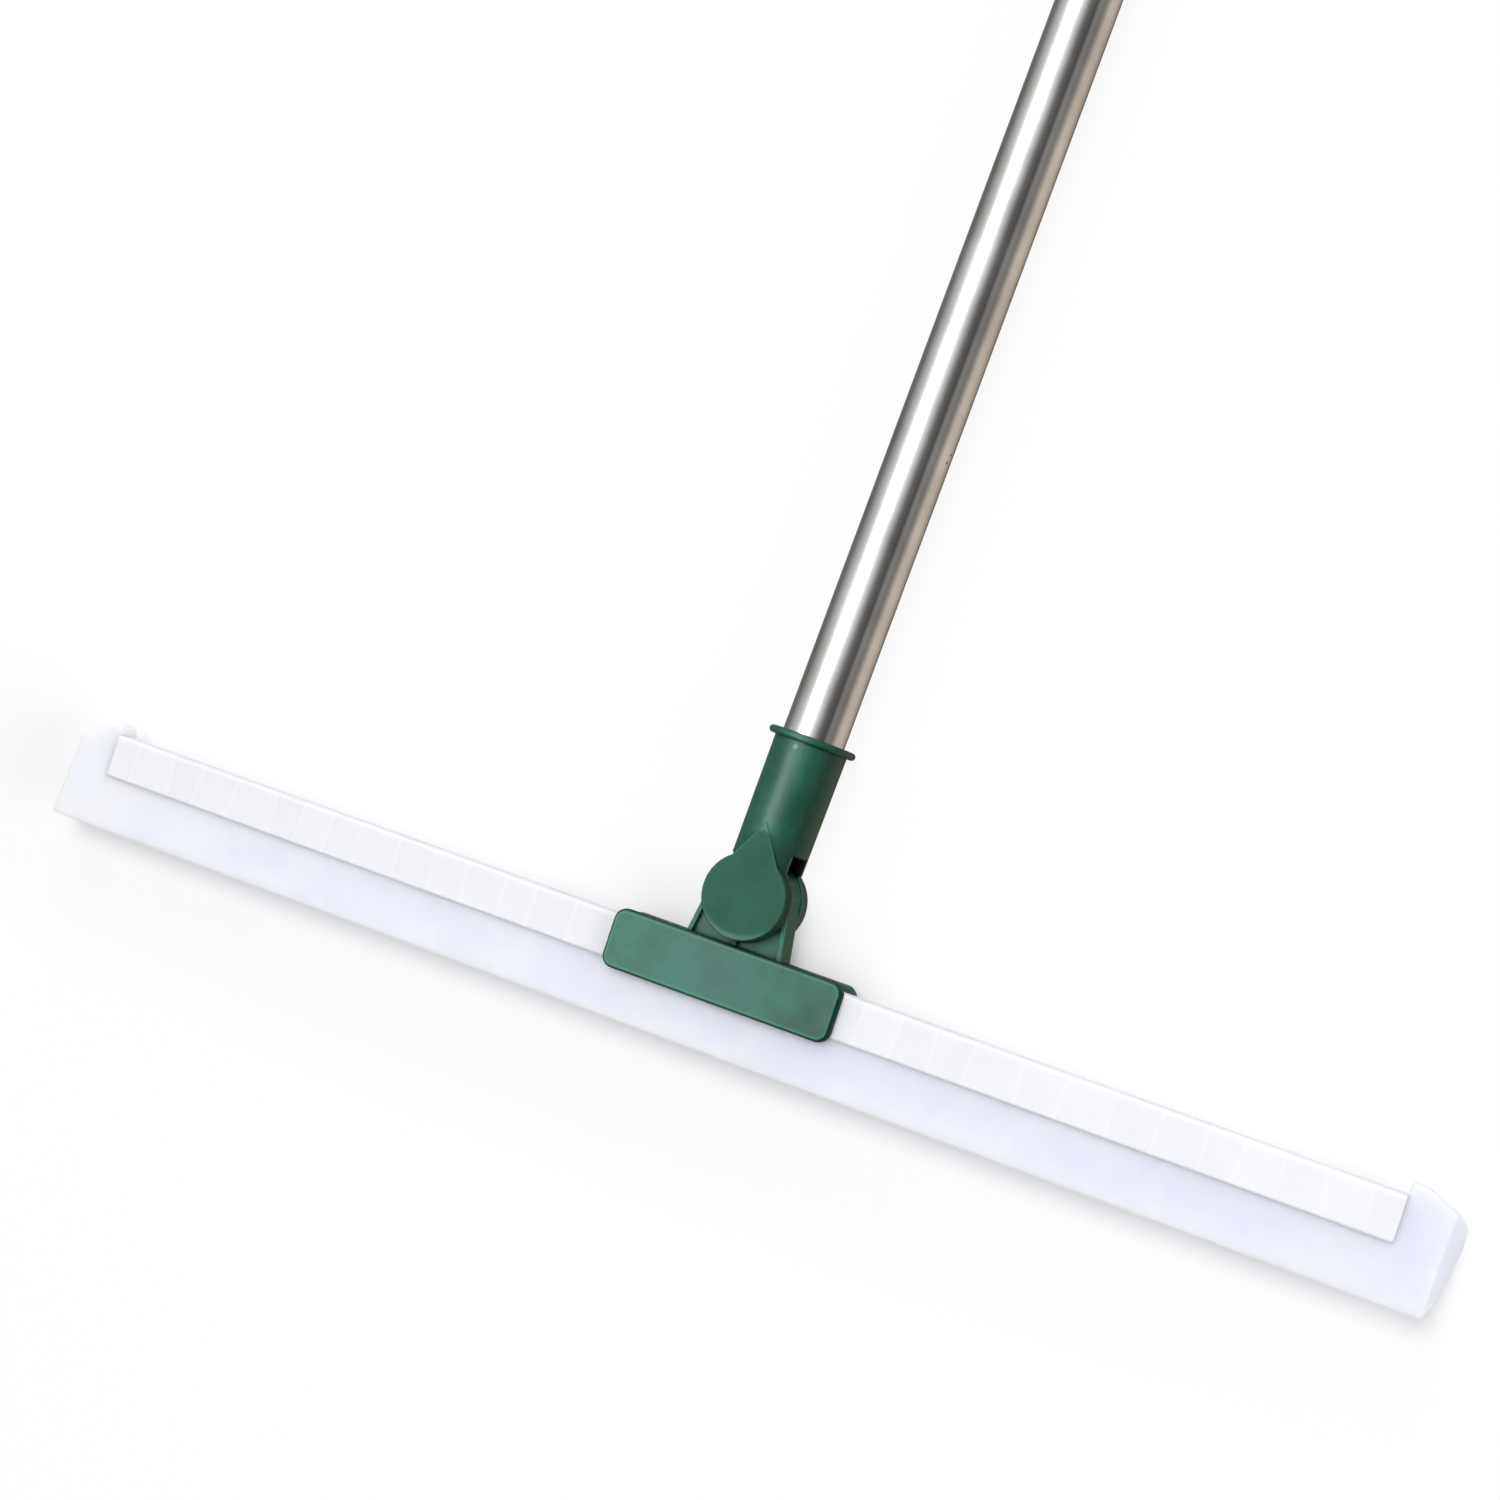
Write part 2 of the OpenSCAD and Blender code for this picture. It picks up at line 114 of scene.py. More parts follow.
def dress(thing, material):
    thing.data.materials.clear()
    thing.data.materials.append(material)


def applyModifiers(piece):
    graph = bpy.context.evaluated_depsgraph_get()
    mesh = bpy.data.meshes.new_from_object(piece.evaluated_get(graph))
    piece.modifiers.clear()
    piece.data = mesh


# camera

cameraFacts = {
    "place": (261.135, -537.356, 844.973),  # millimetres, found by fitting the photograph's edges
    "right": (0.90287, 0.31784, -0.28951),
    "down": (0.29737, -0.94801, -0.11338),
    "lens": 61.23,
    "sensor": 36,  # square
}


def makeCamera(facts):
    data = bpy.data.cameras.new("camera")
    data.sensor_fit = "HORIZONTAL"
    data.sensor_width = facts["sensor"]
    data.lens = facts["lens"]
    data.clip_start, data.clip_end = 0.01, 50
    data.dof.use_dof = False
    right, up = Vector(facts["right"]).normalized(), -Vector(facts["down"])
    up = (up - right * up.dot(right)).normalized()
    back = right.cross(up)
    turn = Matrix((right, up, back)).transposed().to_4x4()
    camera = bpy.data.objects.new("camera", data)
    camera.matrix_world = Matrix.Translation(Vector(facts["place"]) * mm) @ turn
    bpy.context.scene.collection.objects.link(camera)
    bpy.context.scene.camera = camera


makeCamera(cameraFacts)
bpy.context.scene.view_settings.view_transform = "Standard"
print("camera set")


# green polypropylene, injection moulded: satin skin, cloudy sheen, thin weld lines, pale edges rubbed and
# with a painted highlight, painted sheen and shade by which way a face turns, painted shade in gaps
greenLook = {  # lengths are millimetres
    "deep": "#17523f",
    "light": "#1f5f4b",
    "cloud": 16.0,
    "cloudTone": (0.38, 0.64),  # noise levels of the deep and the light tone
    "weld": "#164533",
    "weldGap": 30.0,
    "weldEdge": 0.99,
    "weldShare": 0.1,
    "streak": (0.35, 15.0, 10.0),  # across, along and through
    "streakTurn": 28.0,
    "streakEdge": (0.63, 0.71),  # noise levels where a streak starts and where it is full
    "streakShare": 0.55,
    "side": "#0f3426",  # painted shade: darker plastic on the faces turned away from the light
    "pale": (-0.3, 0.1, 0.95),  # the way the faces with the painted sheen look
    "paintedSheenRange": (0.2, 0.92),
    "rubAndHighlight": "#57a084",  # edges rubbed pale, with a painted highlight along them
    "rubAndHighlightWide": 0.7,
    "rubAndHighlightShare": 0.5,
    "rubAndHighlightEdge": (0.55, 0.95),  # how open the inside is at an edge and away from it
    # painted shade: the colour that gaps, the window, the clamp plate's rim and the cheek's face are darkened
    # towards
    "paintedShade": "#030806",
    "gap": 11.0,  # how far round a point a gap counts
    "gapEdge": (0.15, 0.7),  # how open a gap is where its painted shade is full, and where there is none
    "gapShare": 0.95,
    "gapShine": 0.03,
    "roughness": (0.24, 0.34),
    "shine": (0.3, 0.4),  # specular level on the turned-away faces and on the pale ones
    "rim": 0.6,  # width of the soft edge
    "wave": (14.0, 0.4),  # length and depth of the skin's unevenness
    "skin": (0.45, 0.03),  # and of its grain
}
jawLook = dict(greenLook, deep="#184f3f", light="#296756", side="#0f4433", paintedSheenRange=(0.5, 0.93),
               streak=(0.3, 11.0, 10.0), streakTurn=-38.0, streakShare=0.3, gap=3.0,
               roughness=(0.3, 0.4), shine=(0.3, 0.33), rimTop=-18.6, rimShine=0.0)
shadedBackLook = dict(greenLook, deep="#345044", light="#3d594d", side="#2f473c", rubAndHighlightShare=0.15)  # painted shade: a darker, greyer copy for the back jaw, which lies in shadow, with less pale edge
hingeDisc = {  # matt grain and painted shade on the fork's front cheek
    "middle": (0, 5, 12.8),
    "radius": (17.0, 19.0),
    "roughness": 0.62,
    "shine": 0.73,  # share of the gloss that is left
    "shade": 0.26,
}
socketWindow = {  # boxes with painted shade: the hole in the socket's wall, and the hollow behind it
    "boxes": [((10.1, 14.8, 3.7), (10.0, 3.45, 4.1)),  # middle and half size
              ((5.2, 14.5, 0.3), (5.2, 3.25, 7.3))],
    "lean": -2.0,
    "edge": 0.98,
    "share": 0.97,
}
clampPlate = {
    "middle": (0, -27.35, 0),
    "half": (42.2, 10.45),
    "corner": 4.2,
    "line": (1.75, 1.35, 1.0, 0.7),  # how far in from the outline a light line, rubbed and with a painted highlight, starts and ends
    "lineShare": 0.26,
    "rim": (-0.05, -0.2),  # painted shade on the rim outside that line: it takes in the wall, and stops just past it
    "rimShare": 0.4,
}
bossSinks = {  # shallow dips where the bosses behind the skin shrank
    "spots": [(-36, -29.4, 10.5), (36, -29.4, 10.5)],
    "radius": (1.5, 5.0),
    "depth": 0.12,
}
# a painted highlight (the glint just under the flange), a dark speck by the window, and a small paler spot
# near the cheek's tip
socketSpotsAndGlint = [((0.6, 53.2, 12.9), 1.1, "#8fb0a4", 0.5), ((12.2, 19.6, 5.2), 0.45, "#0c1f18", 0.8),
               ((-1.6, 30.5, 12.5), 0.5, "#86a99c", 0.35)]
jawPaintedLight = [((44, -30, 10.5), 75, "#10382b", 0.16),  # painted shade: the right half of the plate is darker
            ((-4, -30, 10.5), 26, "#4a7d78", 0.2)]  # painted sheen: its middle is paler


def addPlateRim(tree, place, look, plate, colour, deep):  # painted shade on the rounded rim, and inside it a light line, rubbed and with a painted highlight
    corner = plate["corner"]
    inner = tuple((half - corner) * mm for half in plate["half"]) + (1,)  # a metre thick, so z never counts
    away = addNode(tree, "ShaderNodeVectorMath", {"operation": "SUBTRACT"},
                   {0: place, 1: tuple(headPoint(*plate["middle"]))})
    away = addNode(tree, "ShaderNodeVectorMath", {"operation": "ABSOLUTE"}, {0: away.outputs["Vector"]})
    away = addNode(tree, "ShaderNodeVectorMath", {"operation": "SUBTRACT"},
                   {0: away.outputs["Vector"], 1: inner})
    away = addNode(tree, "ShaderNodeVectorMath", {"operation": "MAXIMUM"},
                   {0: away.outputs["Vector"], 1: (0, 0, 0)})
    out = addNode(tree, "ShaderNodeVectorMath", {"operation": "LENGTH"}, {0: away.outputs["Vector"]})
    share = addNode(tree, "ShaderNodeMath", {"operation": "DIVIDE"},  # a half at the plate's outline
                    {0: out.outputs["Value"], 1: 2 * corner * mm})
    none, light, dark = (0, 0, 0, 1), (0, plate["lineShare"], 0, 1), (plate["rimShare"], 0, 0, 1)
    tones = (none, light, light, dark, dark, none)
    insets = plate["line"] + plate["rim"]
    stops = [((corner - inset) / corner / 2, tone) for inset, tone in zip(insets, tones)]
    bands = setRamp(addNode(tree, "ShaderNodeValToRGB", None, {"Fac": share.outputs["Value"]}), stops)
    bands = addNode(tree, "ShaderNodeSeparateXYZ", None, {0: bands.outputs["Color"]})
    colour = addNode(tree, "ShaderNodeMix", {"data_type": "RGBA"},
                     {0: bands.outputs["Y"], 6: colour, 7: hexColour(look["rubAndHighlight"])})
    # the rim's painted shade joins the gaps' painted shade
    deep = addNode(tree, "ShaderNodeMath", {"operation": "MAXIMUM"}, {0: deep, 1: bands.outputs["X"]})
    return colour.outputs["Result"], deep.outputs["Value"]


def addWindow(tree, place, window, deep):  # painted shade inside each box
    for middle, half in window["boxes"]:
        inside = addNode(tree, "ShaderNodeMapping", {"vector_type": "TEXTURE"},
                         {"Vector": place, "Location": tuple(headPoint(*middle)),
                          "Rotation": (0, 0, math.radians(window["lean"])),
                          "Scale": tuple(size * mm for size in half)})
        sizes = addNode(tree, "ShaderNodeVectorMath", {"operation": "ABSOLUTE"},
                        {0: inside.outputs["Vector"]})
        sides = addNode(tree, "ShaderNodeSeparateXYZ", None, {0: sizes.outputs["Vector"]})
        most = addNode(tree, "ShaderNodeMath", {"operation": "MAXIMUM"},
                       {0: sides.outputs["X"], 1: sides.outputs["Y"]})
        most = addNode(tree, "ShaderNodeMath", {"operation": "MAXIMUM"},
                       {0: most.outputs["Value"], 1: sides.outputs["Z"]})
        deep = addNode(tree, "ShaderNodeMapRange", None,
                       {"Value": most.outputs["Value"], "From Min": window["edge"], "From Max": 1,
                        "To Min": window["share"], "To Max": deep}).outputs["Result"]
    return deep


def addDisc(tree, place, look, disc, colour, gloss, shine):  # duller, and darker with painted shade, on the disc
    far = addNode(tree, "ShaderNodeVectorMath", {"operation": "DISTANCE"},
                  {0: place, 1: tuple(headPoint(*disc["middle"]))})
    onDisc = addNode(tree, "ShaderNodeMapRange", {"interpolation_type": "SMOOTHSTEP"},
                     {"Value": far.outputs["Value"], "From Min": disc["radius"][0] * mm,
                      "From Max": disc["radius"][1] * mm, "To Min": 1, "To Max": 0}).outputs["Result"]
    gloss = addNode(tree, "ShaderNodeMapRange", None,
                    {"Value": onDisc, "To Min": gloss, "To Max": disc["roughness"]})
    matt = addNode(tree, "ShaderNodeMapRange", None, {"Value": onDisc, "To Min": 1, "To Max": disc["shine"]})
    shine = addNode(tree, "ShaderNodeMath", {"operation": "MULTIPLY"}, {0: shine, 1: matt.outputs["Result"]})
    shade = addNode(tree, "ShaderNodeMath", {"operation": "MULTIPLY"}, {0: onDisc, 1: disc["shade"]})
    colour = addNode(tree, "ShaderNodeMix", {"data_type": "RGBA"},
                     {0: shade.outputs["Value"], 6: colour, 7: hexColour(look["paintedShade"])})
    return colour.outputs["Result"], gloss.outputs["Result"], shine.outputs["Value"]


def makeGreenPolypropylene(name, look, colourSpots=(), disc=None, window=None, sinks=None, plate=None):
    material, tree = newMaterial(name)
    where = addNode(tree, "ShaderNodeTexCoord")
    place = where.outputs["Object"]
    cloud = addNode(tree, "ShaderNodeTexNoise", None,
                    {"Vector": place, "Scale": 1 / (look["cloud"] * mm), "Detail": 4, "Roughness": 0.6})
    tint = setRamp(addNode(tree, "ShaderNodeValToRGB", None, {"Fac": cloud.outputs["Fac"]}),
                   [(look["cloudTone"][0], hexColour(look["deep"])),
                    (look["cloudTone"][1], hexColour(look["light"]))])
    flow = addNode(tree, "ShaderNodeTexWave", {"wave_type": "BANDS", "bands_direction": "DIAGONAL"},
                   {"Vector": place, "Scale": 1 / (look["weldGap"] * mm) / math.tau, "Distortion": 12,
                    "Detail": 3, "Detail Scale": 1.1, "Detail Roughness": 0.55})
    weld = addNode(tree, "ShaderNodeMapRange", {"interpolation_type": "SMOOTHSTEP"},
                   {"Value": flow.outputs["Fac"], "From Min": look["weldEdge"], "From Max": 1,
                    "To Min": 0, "To Max": look["weldShare"]})
    slant = addNode(tree, "ShaderNodeMapping", {"vector_type": "TEXTURE"},
                    {"Vector": place, "Rotation": (0, 0, math.radians(look["streakTurn"])),
                     "Scale": tuple(size * mm for size in look["streak"])})
    rubbed = addNode(tree, "ShaderNodeTexNoise", None,
                     {"Vector": slant.outputs["Vector"], "Scale": 1, "Detail": 1})
    streaks = addNode(tree, "ShaderNodeMapRange", {"interpolation_type": "SMOOTHSTEP"},
                      {"Value": rubbed.outputs["Fac"], "From Min": look["streakEdge"][0],
                       "From Max": look["streakEdge"][1],
                       "To Min": weld.outputs["Result"], "To Max": look["streakShare"]})
    colour = addNode(tree, "ShaderNodeMix", {"data_type": "RGBA"},
                     {0: streaks.outputs["Result"], 6: tint.outputs["Color"], 7: hexColour(look["weld"])})
    # painted sheen and shade: faces toward the light keep the paler tone, the rest get the darker side tone
    turned = addNode(tree, "ShaderNodeVectorMath", {"operation": "DOT_PRODUCT"},
                     {0: where.outputs["Normal"], 1: tuple(Vector(look["pale"]).normalized())})
    pale = addNode(tree, "ShaderNodeMapRange", {"interpolation_type": "SMOOTHSTEP"},
                   {"Value": turned.outputs["Value"], "From Min": look["paintedSheenRange"][0],
                    "From Max": look["paintedSheenRange"][1], "To Min": 0, "To Max": 1}).outputs["Result"]
    colour = addNode(tree, "ShaderNodeMix", {"data_type": "RGBA"},
                     {0: pale, 6: hexColour(look["side"]), 7: colour.outputs["Result"]})
    colour = addColourSpots(tree, place, colour.outputs["Result"], colourSpots)
    # pale edges, rubbed and with a painted highlight
    thick = addNode(tree, "ShaderNodeAmbientOcclusion", {"samples": 8, "inside": True, "only_local": True},
                    {"Distance": look["rubAndHighlightWide"] * mm})
    rubAndHighlight = addNode(tree, "ShaderNodeMapRange", None,
                   {"Value": thick.outputs["AO"], "From Min": look["rubAndHighlightEdge"][0],
                    "From Max": look["rubAndHighlightEdge"][1], "To Min": look["rubAndHighlightShare"], "To Max": 0})
    colour = addNode(tree, "ShaderNodeMix", {"data_type": "RGBA"},
                     {0: rubAndHighlight.outputs["Result"], 6: colour, 7: hexColour(look["rubAndHighlight"])}).outputs["Result"]
    clear = addNode(tree, "ShaderNodeAmbientOcclusion", {"samples": 8}, {"Distance": look["gap"] * mm})
    deep = addNode(tree, "ShaderNodeMapRange", None,  # painted shade: deep gaps are darkened
                   {"Value": clear.outputs["AO"], "From Min": look["gapEdge"][0],
                    "From Max": look["gapEdge"][1],
                    "To Min": look["gapShare"], "To Max": 0}).outputs["Result"]
    if plate:
        colour, deep = addPlateRim(tree, place, look, plate, colour, deep)
    if window:
        deep = addWindow(tree, place, window, deep)
    # painted shade from the gaps, the clamp plate's rim and the window
    colour = addNode(tree, "ShaderNodeMix", {"data_type": "RGBA"},
                     {0: deep, 6: colour, 7: hexColour(look["paintedShade"])}).outputs["Result"]
    turnedShine = look["shine"][0]
    if "rimTop" in look:  # the clamp plate's rounded rim is duller than the tongue above it
        along = addNode(tree, "ShaderNodeSeparateXYZ", None, {0: place})
        edge = headPoint(0, look["rimTop"], 0).y
        turnedShine = addNode(tree, "ShaderNodeMapRange", None,
                              {"Value": along.outputs["Y"], "From Min": edge - mm, "From Max": edge,
                               "To Min": look["rimShine"], "To Max": turnedShine}).outputs["Result"]
    dull = addNode(tree, "ShaderNodeMapRange", None,
                   {"Value": pale, "To Min": turnedShine, "To Max": look["shine"][1]})
    shine = addNode(tree, "ShaderNodeMapRange", None,
                    {"Value": deep, "To Min": dull.outputs["Result"],
                     "To Max": look["gapShine"]}).outputs["Result"]
    gloss = addNode(tree, "ShaderNodeMapRange", None,
                    {"Value": cloud.outputs["Fac"], "From Min": noiseSpan[0], "From Max": noiseSpan[1],
                     "To Min": look["roughness"][0], "To Max": look["roughness"][1]}).outputs["Result"]
    if disc:
        colour, gloss, shine = addDisc(tree, place, look, disc, colour, gloss, shine)
    waves = addNode(tree, "ShaderNodeTexNoise", None,
                    {"Vector": place, "Scale": 1 / (look["wave"][0] * mm), "Detail": 1})
    rim = addNode(tree, "ShaderNodeBevel", {"samples": 6}, {"Radius": look["rim"] * mm})
    bump = addNode(tree, "ShaderNodeBump", None,
                   {"Strength": 0.8, "Distance": look["wave"][1] * mm, "Height": waves.outputs["Fac"],
                    "Normal": rim.outputs["Normal"]})
    for spot in sinks["spots"] if sinks else ():
        far = addNode(tree, "ShaderNodeVectorMath", {"operation": "DISTANCE"},
                      {0: place, 1: tuple(headPoint(*spot))})
        dip = addNode(tree, "ShaderNodeMapRange", {"interpolation_type": "SMOOTHSTEP"},
                      {"Value": far.outputs["Value"], "From Min": sinks["radius"][0] * mm,
                       "From Max": sinks["radius"][1] * mm, "To Min": 0, "To Max": 1})
        bump = addNode(tree, "ShaderNodeBump", None,
                       {"Strength": 1, "Distance": sinks["depth"] * mm, "Height": dip.outputs["Result"],
                        "Normal": bump.outputs["Normal"]})
    skin = addNode(tree, "ShaderNodeTexNoise", None,
                   {"Vector": place, "Scale": 1 / (look["skin"][0] * mm), "Detail": 3, "Roughness": 0.55})
    fine = addNode(tree, "ShaderNodeBump", None,
                   {"Strength": 0.3, "Distance": look["skin"][1] * mm, "Height": skin.outputs["Fac"],
                    "Normal": bump.outputs["Normal"]})
    shader = addNode(tree, "ShaderNodeBsdfPrincipled", None,
                     {"Base Color": colour, "Roughness": gloss, "IOR": 1.49, "Specular IOR Level": shine,
                      "Normal": fine.outputs["Normal"]})
    addNode(tree, "ShaderNodeOutputMaterial", None, {"Surface": shader.outputs["BSDF"]})
    return material


greenPolypropylene = makeGreenPolypropylene("greenPolypropylene", greenLook, socketSpotsAndGlint, disc=hingeDisc,
                                            window=socketWindow)
greenJawFace = makeGreenPolypropylene("greenPolypropyleneJaw", jawLook, jawPaintedLight, sinks=bossSinks,
                                      plate=clampPlate)
greenBackJawShaded = makeGreenPolypropylene("greenPolypropyleneShadedBack", shadedBackLook)

# stainless steel tube, polished lengthways: clear reflections with hair-fine lines along the tube
steelLook = {  # lengths are millimetres
    "clean": "#d2d1cf",
    "dull": "#c2c0bd",
    "haze": 22.0,
    "tone": (0.35, 0.65),  # noise levels of the dull and the clean tone
    "line": (0.5, 90.0, 0.5),  # polishing lines: across, along and through
    "lineDepth": 0.02,
    "lean": -2.0,  # degrees, as the handle
    "roughness": (0.1, 0.2),
}
tubeMarks = [((16.5, 163.3, 1.6), 0.7, "#4a3524", 0.85), ((16.3, 160.4, 2.3), 0.8, "#4a3524", 0.8),
             ((18.7, 219.8, 0.5), 0.7, "#6b5a48", 0.5)]


def makePolishedStainless(look, colourSpots):
    material, tree = newMaterial("polishedStainless")
    place = addNode(tree, "ShaderNodeTexCoord").outputs["Object"]
    long = addNode(tree, "ShaderNodeMapping", {"vector_type": "TEXTURE"},
                   {"Vector": place, "Rotation": (0, 0, math.radians(look["lean"])),
                    "Scale": tuple(size * mm for size in look["line"])})
    lines = addNode(tree, "ShaderNodeTexNoise", None,
                    {"Vector": long.outputs["Vector"], "Scale": 1, "Detail": 3, "Roughness": 0.6})
    haze = addNode(tree, "ShaderNodeTexNoise", None,
                   {"Vector": place, "Scale": 1 / (look["haze"] * mm), "Detail": 2})
    tint = setRamp(addNode(tree, "ShaderNodeValToRGB", None, {"Fac": haze.outputs["Fac"]}),
                   [(look["tone"][0], hexColour(look["dull"])), (look["tone"][1], hexColour(look["clean"]))])
    gloss = addNode(tree, "ShaderNodeMapRange", None,
                    {"Value": lines.outputs["Fac"], "From Min": noiseSpan[0], "From Max": noiseSpan[1],
                     "To Min": look["roughness"][0], "To Max": look["roughness"][1]})
    bump = addNode(tree, "ShaderNodeBump", None,
                   {"Strength": 0.12, "Distance": look["lineDepth"] * mm, "Height": lines.outputs["Fac"]})
    shader = addNode(tree, "ShaderNodeBsdfPrincipled", None,
                     {"Base Color": addColourSpots(tree, place, tint.outputs["Color"], colourSpots), "Metallic": 1,
                      "Roughness": gloss.outputs["Result"], "Normal": bump.outputs["Normal"]})
    addNode(tree, "ShaderNodeOutputMaterial", None, {"Surface": shader.outputs["BSDF"]})
    return material


polishedStainless = makePolishedStainless(steelLook, tubeMarks)

# zinc-plated steel fasteners: grey-blue plating, dull and bright in random clouds
zincLook = {
    "bright": "#b9bdc1",
    "dull": "#8e9296",
    "cloud": (1.6, 0.02),  # size and depth in millimetres
    "tone": (0.32, 0.68),
    "roughness": (0.28, 0.48),
}


def makeZincPlate(look):
    material, tree = newMaterial("zincPlatedSteel")
    place = addNode(tree, "ShaderNodeTexCoord").outputs["Object"]
    cloud = addNode(tree, "ShaderNodeTexNoise", None,
                    {"Vector": place, "Scale": 1 / (look["cloud"][0] * mm), "Detail": 4, "Roughness": 0.65})
    tint = setRamp(addNode(tree, "ShaderNodeValToRGB", None, {"Fac": cloud.outputs["Fac"]}),
                   [(look["tone"][0], hexColour(look["dull"])), (look["tone"][1], hexColour(look["bright"]))])
    gloss = addNode(tree, "ShaderNodeMapRange", None,
                    {"Value": cloud.outputs["Fac"], "From Min": noiseSpan[0], "From Max": noiseSpan[1],
                     "To Min": look["roughness"][1], "To Max": look["roughness"][0]})
    bump = addNode(tree, "ShaderNodeBump", None,
                   {"Strength": 0.2, "Distance": look["cloud"][1] * mm, "Height": cloud.outputs["Fac"]})
    shader = addNode(tree, "ShaderNodeBsdfPrincipled", None,
                     {"Base Color": tint.outputs["Color"], "Metallic": 1,
                      "Roughness": gloss.outputs["Result"], "Normal": bump.outputs["Normal"]})
    addNode(tree, "ShaderNodeOutputMaterial", None, {"Surface": shader.outputs["BSDF"]})
    return material


zincPlatedSteel = makeZincPlate(zincLook)

# natural nylon washers: milky, a little see-into
nylonLook = {
    "pale": "#ece8dd",
    "warm": "#ddd6c6",
    "cloud": (2.5, 0.02),  # size and depth in millimetres
    "tone": (0.35, 0.65),
    "roughness": 0.48,
    "seeInto": (0.15, 0.5),  # how much light goes in, and how many millimetres
}


def makeNylon(look):
    material, tree = newMaterial("naturalNylon")
    place = addNode(tree, "ShaderNodeTexCoord").outputs["Object"]
    cloud = addNode(tree, "ShaderNodeTexNoise", None,
                    {"Vector": place, "Scale": 1 / (look["cloud"][0] * mm), "Detail": 3})
    tint = setRamp(addNode(tree, "ShaderNodeValToRGB", None, {"Fac": cloud.outputs["Fac"]}),
                   [(look["tone"][0], hexColour(look["warm"])), (look["tone"][1], hexColour(look["pale"]))])
    bump = addNode(tree, "ShaderNodeBump", None,
                   {"Strength": 0.2, "Distance": look["cloud"][1] * mm, "Height": cloud.outputs["Fac"]})
    shader = addNode(tree, "ShaderNodeBsdfPrincipled", None,
                     {"Base Color": tint.outputs["Color"], "Roughness": look["roughness"], "IOR": 1.53,
                      "Subsurface Weight": look["seeInto"][0], "Subsurface Scale": look["seeInto"][1] * mm,
                      "Normal": bump.outputs["Normal"]})
    addNode(tree, "ShaderNodeOutputMaterial", None, {"Surface": shader.outputs["BSDF"]})
    return material


naturalNylon = makeNylon(nylonLook)

# white EVA foam, closed cell, cut with a blade: matt, faintly blue, tiny cells
foamLook = {  # lengths are millimetres
    "shade": "#e4e7f6",
    "white": "#ebeefb",
    "mottle": 26.0,
    "tone": (0.35, 0.65),
    "cell": (0.8, 0.08),  # width and depth
    "roughness": 0.78,
    "seeInto": 9.0,
    "fuzz": 0.08,
}
foamMarks = [((-272, -36, 4), 55, "#f0f1f5", 0.6)]  # the left end is whiter


def makeFoam(look, colourSpots):
    material, tree = newMaterial("whiteEvaFoam")
    place = addNode(tree, "ShaderNodeTexCoord").outputs["Object"]
    mottle = addNode(tree, "ShaderNodeTexNoise", None,
                     {"Vector": place, "Scale": 1 / (look["mottle"] * mm), "Detail": 4, "Roughness": 0.6})
    tint = setRamp(addNode(tree, "ShaderNodeValToRGB", None, {"Fac": mottle.outputs["Fac"]}),
                   [(look["tone"][0], hexColour(look["shade"])), (look["tone"][1], hexColour(look["white"]))])
    cells = addNode(tree, "ShaderNodeTexVoronoi", {"feature": "F1"},
                    {"Vector": place, "Scale": 1 / (look["cell"][0] * mm)})
    bump = addNode(tree, "ShaderNodeBump", None,
                   {"Strength": 0.25, "Distance": look["cell"][1] * mm, "Height": cells.outputs["Distance"]})
    shader = addNode(tree, "ShaderNodeBsdfPrincipled", None,
                     {"Base Color": addColourSpots(tree, place, tint.outputs["Color"], colourSpots),
                      "Roughness": look["roughness"], "IOR": 1.45, "Subsurface Weight": 1,
                      "Subsurface Scale": look["seeInto"] * mm, "Subsurface Radius": (1, 1, 1),
                      "Sheen Weight": look["fuzz"], "Normal": bump.outputs["Normal"]})
    addNode(tree, "ShaderNodeOutputMaterial", None, {"Surface": shader.outputs["BSDF"]})
    return material


whiteEvaFoam = makeFoam(foamLook, foamMarks)

# white polyethylene strip, rolled thin and folded over the foam: nearly matt, cloudy where hands touched it,
# greyer towards the left, painted shading on its facets, and creases white from folding with a painted
# highlight
stripLook = {  # lengths are millimetres
    "white": "#f8f9fd",
    "cloudy": "#ecedf3",
    "tone": (0.1, 0.9),  # levels of the cloudy and the white tone
    "fold": "#ffffff",
    "cloud": 18.0,
    "cloudShare": 0.5,
    "facetShadingShare": 0.24,
    "toneSpan": (-200.0, 200.0),  # span over which the tone shifts, greyer at the left
    "toneShift": (0.02, 0.3),  # what that adds to the tone at the left and at the right
    "grain": (1.2, 0.05),  # width and depth
    "roughness": (0.45, 0.6),
    "shine": 0.08,
}


